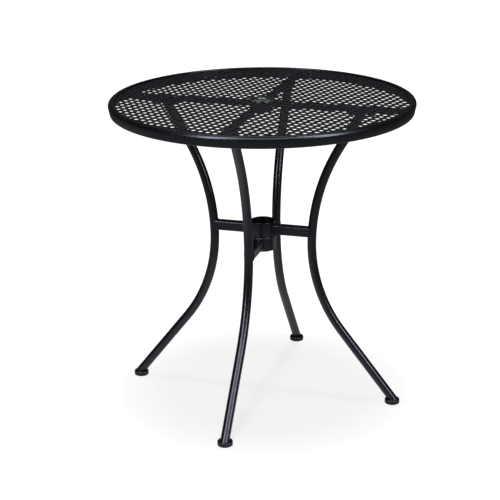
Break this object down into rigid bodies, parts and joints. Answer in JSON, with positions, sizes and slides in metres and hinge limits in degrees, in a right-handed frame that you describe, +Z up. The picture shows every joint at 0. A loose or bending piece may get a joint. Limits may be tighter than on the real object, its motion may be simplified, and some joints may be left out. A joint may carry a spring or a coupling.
{
  "type": "balcony table",
  "caption": "Round metal balcony table: mesh top in a rolled rim, curved crossed legs joined at a ring hub, an umbrella hole with a lift-out plug.",
  "frame": {"origin": "on the floor, on the table's vertical axis", "axes": "+Z up; +X along the upper pair of arms towards the right-hand leg; -Y along the lower pair of arms towards the front leg"},
  "size_m": [0.7, 0.7, 0.72],
  "materials": {
    "powder_coat": "black satin powder coat on steel",
    "foot_plastic": "black moulded plastic, matte",
    "insert_plastic": "black moulded plastic, satin",
    "zinc_fastener": "zinc-plated steel"
  },
  "bodies": {
    "table": {"rim": "powder_coat", "top_mesh": "powder_coat", "centre_collar": "powder_coat", "hub_ring_upper": "powder_coat", "hub_ring_lower": "powder_coat", "under_bar_left": "powder_coat", "under_bar_right": "powder_coat", "under_bar_front": "powder_coat", "under_bar_rear": "powder_coat", "leg_plate_left": "powder_coat", "leg_plate_right": "powder_coat", "leg_plate_front": "powder_coat", "leg_plate_rear": "powder_coat", "leg_left": "powder_coat", "leg_right": "powder_coat", "leg_front": "powder_coat", "leg_rear": "powder_coat", "arm_left": "powder_coat", "arm_right": "powder_coat", "arm_front": "powder_coat", "arm_rear": "powder_coat", "foot_left": "foot_plastic", "foot_right": "foot_plastic", "foot_front": "foot_plastic", "foot_rear": "foot_plastic", "pole_hole_insert": "insert_plastic", "bolt_left_inner": "zinc_fastener", "bolt_left_outer": "zinc_fastener", "bolt_right_inner": "zinc_fastener", "bolt_right_outer": "zinc_fastener", "bolt_front_inner": "zinc_fastener", "bolt_front_outer": "zinc_fastener", "bolt_rear_inner": "zinc_fastener", "bolt_rear_outer": "zinc_fastener", "nut_left_inner": "zinc_fastener", "nut_left_outer": "zinc_fastener", "nut_right_inner": "zinc_fastener", "nut_right_outer": "zinc_fastener", "nut_front_inner": "zinc_fastener", "nut_front_outer": "zinc_fastener", "nut_rear_inner": "zinc_fastener", "nut_rear_outer": "zinc_fastener"},
    "plug": {"pole_hole_plug": "insert_plastic"}
  },
  "joints": [
    {"name": "plug_lift", "type": "slide", "parent": "table", "child": "plug", "axis": [0, 0, 1], "range_m": [0, 0.06]}
  ]
}
